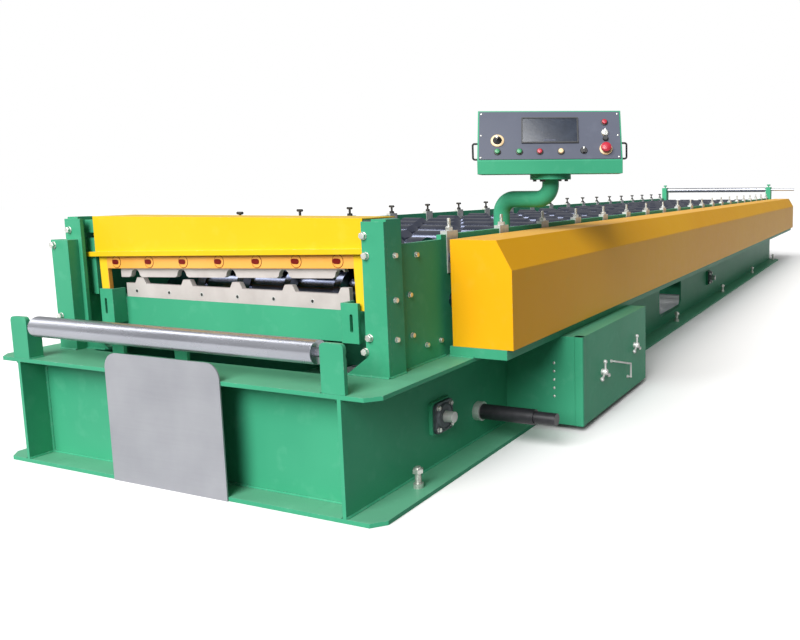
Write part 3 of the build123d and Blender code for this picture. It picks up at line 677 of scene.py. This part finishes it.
def newPiece(name, mesh, coats, body="machine", replaced=(), turnOut=False):
    if turnOut:
        bmesh.ops.recalc_face_normals(mesh, faces=mesh.faces)
    data = bpy.data.meshes.new(name)
    mesh.to_mesh(data)
    mesh.free()
    for coat in coats:
        data.materials.append(finishes[coat])
    data.polygons.foreach_set("use_smooth", [True] * len(data.polygons))
    data.set_sharp_from_angle(angle=math.radians(34))
    piece = bpy.data.objects.new(name, data)
    bpy.context.scene.collection.objects.link(piece)
    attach(piece, body)
    if replaced:
        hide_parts(*replaced)
    return piece


toFront, toBack = (0, -1, 0), (0, 1, 0)
toRight, toLeft = (1, 0, 0), (-1, 0, 0)
upwards, downwards = (0, 0, 1), (0, 0, -1)

# Hex bolts and nuts on the cutter's columns, post and beam
cutterBolts = {
    "stripY": 0.210,
    "postY": 0.170,
    "beamY": 0.2885,
    "columnSideX": 0.763,
    "wallSideX": 0.745,
    "strip": [(0.684, 0.86), (0.69, 0.796), (0.692, 0.53), (0.673, 0.483), (-0.709, 0.862)],
    "stripLeft": [(-0.702, 0.746), (-0.694, 0.632), (-0.689, 0.518)],
    "post": [(-0.745, 0.806), (-0.738, 0.53)],
    "beam": [(-0.556, 0.552), (0.538, 0.553)],
    "columnSide": [(0.26, 0.795), (0.255, 0.65), (0.254, 0.52)],
    "wallSide": [(0.403, 0.785), (0.358, 0.653), (0.365, 0.513), (0.535, 0.463), (0.448, 0.463)],
    "acrossFlats": 0.021,
    "beamAcrossFlats": 0.022,
    "sideAcrossFlats": 0.016,
}
mesh = bmesh.new()
across = cutterBolts["acrossFlats"]
for number, (x, z) in enumerate(cutterBolts["strip"] + cutterBolts["stripLeft"]):
    hexBolt(mesh, (x, cutterBolts["stripY"], z), toFront, across, turn=0.3 + 0.5 * number)
for number, (x, z) in enumerate(cutterBolts["post"]):
    hexBolt(mesh, (x, cutterBolts["postY"], z), toFront, across, turn=0.8 * number)
for x, z in cutterBolts["beam"]:
    studNut(mesh, (x, cutterBolts["beamY"], z), toFront, cutterBolts["beamAcrossFlats"])
sideAcross = cutterBolts["sideAcrossFlats"]
for side in (1, -1):
    for number, (y, z) in enumerate(cutterBolts["columnSide"]):
        x = standMiddleX + side * (cutterBolts["columnSideX"] - standMiddleX)
        hexBolt(mesh, (x, y, z), (side, 0, 0), sideAcross, turn=0.4 * number)
    for number, (y, z) in enumerate(cutterBolts["wallSide"]):
        x = standMiddleX + side * (cutterBolts["wallSideX"] - standMiddleX)
        hexBolt(mesh, (x, y, z), (side, 0, 0), sideAcross, turn=0.7 * number)
newPiece("cutterBolts", mesh, ["zincPlatedSteel"])

# Bolts in the slots of the ram, each in a turned ring; the ring's amber and its dark-red rim are
# painted shade
ramBolts = {"count": 7, "firstX": -0.526, "pitch": 0.177, "z": 0.755, "y": 0.254, "rake": 1.75}
mesh = bmesh.new()
rise = math.tan(math.radians(ramBolts["rake"]))
slotShape = roundedOutline(0.033, 0.018, 0.0088)
for number in range(ramBolts["count"]):
    x = ramBolts["firstX"] + number * ramBolts["pitch"]
    z = ramBolts["z"] + (x - standMiddleX) * rise
    seat = aim((x, ramBolts["y"], z), toFront)
    prism(mesh, seat, slotShape, -0.002, 0.0026, coat=0)
    # The dark-red disc, 2 mm wider than the amber ring on top of it, is painted shade: its rim
    # stands for the shadow round the ring's edge.
    for ring, height, coat in ((0.0235, 0.0006, 1), (0.0215, 0.0009, 2)):
        ringSeat = aim((x + 0.004, ramBolts["y"], z), toFront)
        lathe(mesh, ringSeat, [(0, -0.001), (ring, -0.001), (ring, height), (0, height)], 28, coat)
newPiece(
    "ramSlotBolts",
    mesh,
    ["darkRedEnamel", "darkRedEnamel", "amberPaintedShadeEnamel"],
    body="cutter_ram",
)

# Countersunk screws that hold the lower blade
bladeScrews = {"y": 0.2885, "z": 0.624, "xs": [-0.468, -0.295, -0.127, 0.049, 0.219, 0.393]}
mesh = bmesh.new()
for x in bladeScrews["xs"]:
    seat = aim((x, bladeScrews["y"], bladeScrews["z"]), toFront)
    lathe(mesh, seat, [(0, -0.001), (0.0085, -0.001), (0.0085, 0.0004), (0.006, 0.0005)], 20, 0)
    lathe(mesh, seat, [(0.006, 0.0005), (0.0055, 0.0002), (0, 0.0002)], 20, 1)
newPiece("bladeScrews", mesh, ["milledSteel", "blackenedSteel"])

# Adjusting screws: T handles on the left row, plain bolts on the right row
adjusting = {
    "firstY": 0.63,
    "pitch": 0.4,
    "count": 20,
    "leftX": -0.705,
    "rightX": 0.735,
    "footZ": 0.854,
    "screwTop": 0.044,
    "boltTop": 0.046,
}
mesh = bmesh.new()
for number in range(adjusting["count"]):
    y = adjusting["firstY"] + number * adjusting["pitch"]
    seat = aim((adjusting["leftX"], y, adjusting["footZ"]), upwards, turn=0.9 * number)
    hexHead(mesh, seat, 0.026, 0.0, 0.014, coat=0)
    thread(mesh, seat, 0.007, 0.0, adjusting["screwTop"], 0.0025, coat=0)
    bar = aim((adjusting["leftX"] - 0.018, y, adjusting["footZ"] + adjusting["screwTop"]), toRight)
    lathe(
        mesh,
        bar,
        [(0, 0), (0.0055, 0), (0.007, 0.002), (0.007, 0.034), (0.0055, 0.036), (0, 0.036)],
        16,
        coat=0,
    )
    seat = aim((adjusting["rightX"], y, adjusting["footZ"]), upwards, turn=0.6 * number)
    hexHead(mesh, seat, 0.026, 0.0, 0.014, coat=1)
    thread(mesh, seat, 0.007, 0.0, adjusting["boltTop"], 0.0025, coat=1)
newPiece(
    "adjustingScrews",
    mesh,
    ["blackenedSteel", "zincPlatedSteel"],
    replaced=["adjusting_screws"],
)

# Housings of the flange bearings: cast plates with a boss and four bolts
housings = {"centres": [(0.51, 0.19), (4.85, 0.19)], "plate": 0.112, "padX": 0.756}
mesh = bmesh.new()
plateShape = roundedOutline(housings["plate"], housings["plate"], 0.018)
for side in (1, -1):
    for y, z in housings["centres"]:
        seat = aim((side * housings["padX"], y, z), (side, 0, 0))
        prism(mesh, seat, plateShape, -0.001, 0.012, coat=0)
        lathe(
            mesh,
            seat,
            [(0.0215, 0.012), (0.05, 0.012), (0.046, 0.0195), (0.0425, 0.0205), (0.0425, 0.0005)],
            32,
        )
        cover = [(0.043, 0.0165), (0.0405, 0.0185), (0.027, 0.0172), (0.0215, 0.0172)]
        lathe(mesh, seat, cover, 32)
        for across45 in (45, 135, 225, 315):
            angle = math.radians(across45)
            spot = Vector((0, y + 0.056 * math.cos(angle), z + 0.056 * math.sin(angle)))
            spot.x = side * (housings["padX"] + 0.012)
            hexBolt(mesh, spot, (side, 0, 0), 0.015, turn=angle, coat=1)
newPiece("bearingHousings", mesh, ["sandCastIron", "zincPlatedSteel"])

# Nuts at the top of the anchor bolts
anchors = {"x": 0.804, "firstY": 0.285, "pitch": 1.64, "count": 6, "nutZ": 0.066}
mesh = bmesh.new()
for side in (1, -1):
    for number in range(anchors["count"]):
        y = anchors["firstY"] + number * anchors["pitch"]
        seat = aim((side * anchors["x"], y, 0), upwards, turn=0.5 * number)
        hexHead(mesh, seat, 0.033, anchors["nutZ"], 0.015)
        thread(mesh, seat, 0.0112, 0.03, anchors["nutZ"], 0.0025)
newPiece("anchorNuts", mesh, ["zincPlatedSteel"])
print("bolts ready")

# Welds of the base and the stand
welds = {
    "webOuterX": 0.742,
    "webInnerX": 0.728,
    "low": 0.014,
    "high": 0.386,
    "top": 0.4,
    "length": 8.6,
    "crossWebY": 0.09,
    "bracketX": 0.672,
    "bracketEndY": 0.05,
    "columnX": 0.748,
    "gussetX": 0.575,
    "columnY": (0.21, 0.3),
    "wallX": 0.73,
    "shelfX": (0.75, 0.866),
    "shelfY": 0.563,
    "postX": (-0.76, -0.665),
    "postY": 0.17,
    "stopXs": (-0.4, -0.08),
    "stopHalf": 0.03,
    "stopY": 0.144,
    "thinBead": 0.005,
    "stopBead": 0.004,
}
mesh = bmesh.new()
low, high, top = welds["low"], welds["high"], welds["top"]
crossY, shelfY = welds["crossWebY"], welds["shelfY"]
columnFront, columnBack = welds["columnY"]
shelfIn, shelfOut = welds["shelfX"]
for side in (1, -1):
    out, inward = (side, 0, 0), (-side, 0, 0)
    x, inX = side * welds["webOuterX"], side * welds["webInnerX"]
    weldBead(mesh, (x, 0, low), (x, welds["length"], low), out, upwards)
    weldBead(mesh, (x, 0, high), (x, welds["length"], high), out, downwards)
    weldBead(mesh, (inX, 0, low), (inX, crossY, low), inward, upwards)
    weldBead(mesh, (inX, 0, high), (inX, crossY, high), inward, downwards)
    weldBead(mesh, (inX, crossY, low), (inX, crossY, high), inward, toFront)
    x = side * welds["bracketX"]
    end = (x, welds["bracketEndY"], top)
    weldBead(mesh, (x, 0, top), end, inward, upwards, size=welds["thinBead"])
    columnX = standMiddleX + side * welds["columnX"]
    gussetX = standMiddleX + side * welds["gussetX"]
    weldBead(mesh, (gussetX, columnFront, top), (columnX, columnFront, top), toFront, upwards)
    weldBead(mesh, (columnX, columnFront, top), (columnX, columnBack, top), out, upwards)
    x = standMiddleX + side * welds["wallX"]
    weldBead(mesh, (x, columnBack, top), (x, shelfY, top), out, upwards)
    x, end = standMiddleX + side * shelfIn, (side * shelfOut, shelfY, top)
    weldBead(mesh, (x, shelfY, top), end, toFront, upwards, size=welds["thinBead"])
x = welds["webInnerX"]
weldBead(mesh, (-x, crossY, low), (x, crossY, low), toFront, upwards)
weldBead(mesh, (-x, crossY, high), (x, crossY, high), toFront, downwards)
postLeft, postRight = [(x, welds["postY"], top) for x in welds["postX"]]
weldBead(mesh, postLeft, postRight, toFront, upwards)
for x in welds["stopXs"]:
    start = (x - welds["stopHalf"], welds["stopY"], top)
    end = (x + welds["stopHalf"], welds["stopY"], top)
    weldBead(mesh, start, end, toFront, upwards, size=welds["stopBead"])
newPiece("frameWelds", mesh, ["greenSprayedEnamel"], turnOut=True)
print("welds ready")

# Control panel: buttons, joystick, stop button and screen frame on the sloped face
panel = {
    "origin": (0.92, 1.125, 1.062),
    "along": (0.9063, 0.4226, 0.0),
    "operator": (0.4226, -0.9063, 0.0),
    "topDepth": 0.005,
    "topZ": 0.258,
    "runDepth": 0.095,
    "dropZ": 0.206,
    "faceMm": 3.0,
}
along, operator = Vector(panel["along"]), Vector(panel["operator"])
slopeLength = math.hypot(panel["runDepth"], panel["dropZ"])
downSlope = (operator * panel["runDepth"] - Vector(upwards) * panel["dropZ"]) / slopeLength
faceNormal = (operator * panel["dropZ"] + Vector(upwards) * panel["runDepth"]) / slopeLength


def onPanel(u, v):  # a seat on the sloped face, u across and v down it, in millimetres
    top = Vector(panel["origin"]) + operator * panel["topDepth"] + Vector(upwards) * panel["topZ"]
    place = top + along * (u / 1000) + downSlope * (v / 1000)
    place += faceNormal * (panel["faceMm"] / 1000)
    seat = Matrix((along, -downSlope, faceNormal)).transposed().to_4x4()
    return Matrix.Translation(place) @ seat


panelParts = {
    "buttons": [(-212, 188, 2), (-124, 188, 2), (-42, 188, 3), (44, 188, 4), (224, 56, 3)],
    "bezelRadius": 0.0145,
    "capRadius": 0.0105,
    "selector": (136, 184),
    "keySwitch": (224, 104),
    "shortKnob": (226, 130),
    "joystick": (-212, 138),
    "stopButton": (226, 178),
}
mesh = bmesh.new()
for u, v, coat in panelParts["buttons"]:
    seat = onPanel(u, v)
    rim, cap = panelParts["bezelRadius"], panelParts["capRadius"]
    lathe(mesh, seat, [(0, 0), (rim, 0), (rim, 0.002), (rim * 0.92, 0.0035), (cap, 0.0038)], 24, 5)
    lathe(
        mesh,
        seat,
        [(cap, 0.0038), (cap, 0.0095), (cap * 0.85, 0.0115), (cap * 0.4, 0.0122), (0, 0.0122)],
        24,
        coat,
    )
seat = onPanel(*panelParts["selector"])  # selector switch: black knob with a bright pointer
lathe(mesh, seat, [(0, 0), (0.0145, 0), (0.0145, 0.003), (0.0125, 0.0045), (0, 0.0045)], 24, 1)
prism(mesh, seat, roundedOutline(0.009, 0.024, 0.003), 0.004, 0.0125, coat=1)
pointer = seat @ Matrix.Translation((0, 0.007, 0))
prism(mesh, pointer, roundedOutline(0.006, 0.009, 0.002), 0.012, 0.0135, coat=0)
seat = onPanel(*panelParts["keySwitch"])  # key switch: bright barrel with its key
lathe(mesh, seat, [(0, 0), (0.0155, 0), (0.0155, 0.004), (0.012, 0.009), (0, 0.0095)], 24, 0)
prism(mesh, seat, roundedOutline(0.003, 0.016, 0.001), 0.009, 0.026, coat=0)
seat = onPanel(*panelParts["shortKnob"])  # short black knob below it
lathe(mesh, seat, [(0, 0), (0.012, 0), (0.011, 0.008), (0.009, 0.0095), (0, 0.0095)], 20, 1)
newPiece(
    "panelSwitches",
    mesh,
    [
        "zincPlatedSteel",
        "mouldedBlackNylon",
        "mouldedGreenCap",
        "mouldedRedCap",
        "mouldedCreamCap",
        "blackenedSteel",
    ],
    body="control_panel",
    replaced=["panel_buttons"],
)

mesh = bmesh.new()
# Joystick: cream ring, bellows and a steel stick with a round tip
seat = onPanel(*panelParts["joystick"])
lathe(
    mesh,
    seat,
    [(0, 0), (0.027, 0), (0.027, 0.003), (0.0235, 0.005), (0.0185, 0.005)],
    32,
    coat=0,
)
bellowsFoot, foldHeight, foldStep = 0.004, 0.0035, 0.0025
bellows = [(0.0185, bellowsFoot)]
for fold in range(5):
    foot = bellowsFoot + fold * foldHeight
    radius = 0.0175 - fold * foldStep
    bellows += [(radius, foot + 0.0018), (radius - 0.003, foot + foldHeight)]
lathe(mesh, seat, bellows + [(0, 0.0225)], 28, coat=1)
stick = [(0.0035, 0.02), (0.0032, 0.030), (0.0055, 0.032)]
tip = [(0.0068, 0.0355), (0.0052, 0.039), (0, 0.0402)]
lathe(mesh, seat, stick + tip, 20, coat=2)
newPiece(
    "panelJoystick",
    mesh,
    ["mouldedCreamCap", "mouldedBlackNylon", "zincPlatedSteel"],
    body="control_panel",
    replaced=["panel_joystick"],
)

mesh = bmesh.new()
seat = onPanel(*panelParts["stopButton"])  # stop button: cream collar, red mushroom cap
lathe(mesh, seat, [(0, 0), (0.026, 0), (0.026, 0.004), (0.0225, 0.0062), (0.012, 0.0062)], 32, 1)
cap = [(0.012, 0.0062), (0.012, 0.0135), (0.0205, 0.0148), (0.0215, 0.018)]
lathe(mesh, seat, cap + [(0.0205, 0.0235), (0.0165, 0.027), (0.009, 0.0282), (0, 0.0284)], 32, 0)
newPiece(
    "panelStopButton",
    mesh,
    ["mouldedRedCap", "mouldedCreamCap"],
    body="control_panel",
    replaced=["emergency_stop"],
)

# Raised frame round the screen, with a bare plate at its lower edge
screen = {"v": 92, "width": 0.231, "height": 0.106, "bar": 0.005, "proud": 0.0058}
mesh = bmesh.new()
seat = onPanel(0, screen["v"])
for side in (1, -1):
    longBar = seat @ Matrix.Translation((0, side * (screen["height"] + screen["bar"]) / 2, 0))
    shape = roundedOutline(screen["width"], screen["bar"], 0.0012, steps=3)
    prism(mesh, longBar, shape, 0.0, screen["proud"], coat=0)
    shortBar = seat @ Matrix.Translation((side * (screen["width"] - screen["bar"]) / 2, 0, 0))
    shape = roundedOutline(screen["bar"], screen["height"], 0.0012, steps=3)
    prism(mesh, shortBar, shape, 0.0, screen["proud"], coat=0)
plate = seat @ Matrix.Translation((-0.002, -0.046, 0))
prism(mesh, plate, roundedOutline(0.05, 0.006, 0.001, steps=2), 0.003, 0.0046, coat=1)
newPiece("screenFrame", mesh, ["mouldedBlackNylon", "greyPowderCoat"], body="control_panel")

# Screws round the sloped face
faceScrews = {"u": 278, "vs": (16, 114, 212)}
mesh = bmesh.new()
for u in (-faceScrews["u"], faceScrews["u"]):
    for v in faceScrews["vs"]:
        seat = onPanel(u, v)
        lathe(mesh, seat, [(0, 0), (0.004, 0), (0.0037, 0.0012), (0.002, 0.0021), (0, 0.0023)], 14)
newPiece("faceScrews", mesh, ["zincPlatedSteel"], body="control_panel")

# Bolts of the pipe arm: six under its top flange and four through its foot
armBolts = {
    "flangeCentre": (0.92, 1.125),
    "flangeRadius": 0.066,
    "flangeZ": 1.04,
    "footX": 0.717,
    "footYs": (1.095, 1.155),
    "footZs": (0.71, 0.8),
}
mesh = bmesh.new()
centreX, centreY = armBolts["flangeCentre"]
for k in range(6):
    angle = math.radians(30 + 60 * k)
    x = centreX + armBolts["flangeRadius"] * math.cos(angle)
    y = centreY + armBolts["flangeRadius"] * math.sin(angle)
    hexBolt(mesh, (x, y, armBolts["flangeZ"]), downwards, 0.013, turn=angle, coat=1)
for z in armBolts["footZs"]:
    for y in armBolts["footYs"]:
        hexBolt(mesh, (armBolts["footX"], y, z), toLeft, 0.017, turn=y)
newPiece("armBolts", mesh, ["zincPlatedSteel", "blackenedSteel"])
print("panel ready")

# Cabinet: rolled front corner, small screws in a row, star handles and link lever
cabinet = {
    "outerX": 1.095,
    "frontY": 1.03,
    "foldX": 1.057,
    "bottomZ": 0.026,
    "topZ": 0.4,
    "screwX": 0.966,
    "screwZs": [0.285, 0.25, 0.214, 0.179, 0.144],
}
mesh = bmesh.new()
cornerWidth = cabinet["outerX"] - cabinet["foldX"]
cornerX = cabinet["foldX"] + cornerWidth / 2 + 0.001
cornerSeat = Matrix.Translation((cornerX, cabinet["frontY"] + 0.014, 0))
prism(
    mesh,
    cornerSeat,
    roundedOutline(cornerWidth + 0.002, 0.034, 0.007),
    cabinet["bottomZ"],
    cabinet["topZ"],
)
newPiece("cabinetCorner", mesh, ["greenSprayedEnamel"])
mesh = bmesh.new()
for z in cabinet["screwZs"]:
    seat = aim((cabinet["screwX"], cabinet["frontY"], z), toFront)
    lathe(mesh, seat, [(0, 0), (0.006, 0), (0.0055, 0.002), (0.003, 0.0034), (0, 0.0036)], 18)
newPiece("cabinetScrews", mesh, ["zincPlatedSteel"])

handles = {
    "stars": [(1.25, 0.206), (1.69, 0.236)],
    "reach": 0.046,
    "knob": 0.0095,
    "lever": [(1.36, 0.229), (1.4725, 0.1985), (1.585, 0.168), (1.585, 0.104)],
    "leverOut": 0.019,
}
mesh = bmesh.new()
for number, (y, z) in enumerate(handles["stars"]):
    seat = aim((cabinet["outerX"], y, z), toRight)
    hub = [(0, 0), (0.014, 0), (0.014, 0.021), (0.0115, 0.0255), (0.006, 0.026), (0, 0.026)]
    lathe(mesh, seat, hub, 24)
    for k in range(3):
        angle = math.radians(90 + 120 * k)
        outwards = Vector((0, math.cos(angle), math.sin(angle)))
        spoke = aim(Vector((cabinet["outerX"] + 0.016, y, z)), outwards)
        reach, knob = handles["reach"], handles["knob"]
        lathe(mesh, spoke, [(0.0055, 0), (0.0045, reach * 0.5), (0.0052, reach - 0.006)], 14)
        ball = [
            (knob * math.sin(math.radians(a)), reach - knob * math.cos(math.radians(a)))
            for a in (30, 60, 90, 120, 150)
        ]
        lathe(mesh, spoke, ball + [(0, reach + knob)], 18)
lever = handles["lever"]
bends = [Vector((cabinet["outerX"] + handles["leverOut"], y, z)) for y, z in lever]
for start, end in zip(bends, bends[1:]):
    seat = aim(start, end - start)
    length = (end - start).length
    rod = [(0, -0.004), (0.0048, -0.002), (0.0048, length + 0.002), (0, length + 0.004)]
    lathe(mesh, seat, rod, 12)
for y, z in (lever[0], lever[3]):
    hexBolt(mesh, (cabinet["outerX"], y, z), toRight, 0.013)
    seat = aim((cabinet["outerX"], y, z), toRight)
    lathe(mesh, seat, [(0.0045, 0.0), (0.0045, 0.023), (0.003, 0.024), (0, 0.024)], 14)
newPiece("cabinetHandles", mesh, ["milledSteel"], replaced=["cabinet_handles"])
print("cabinet ready")
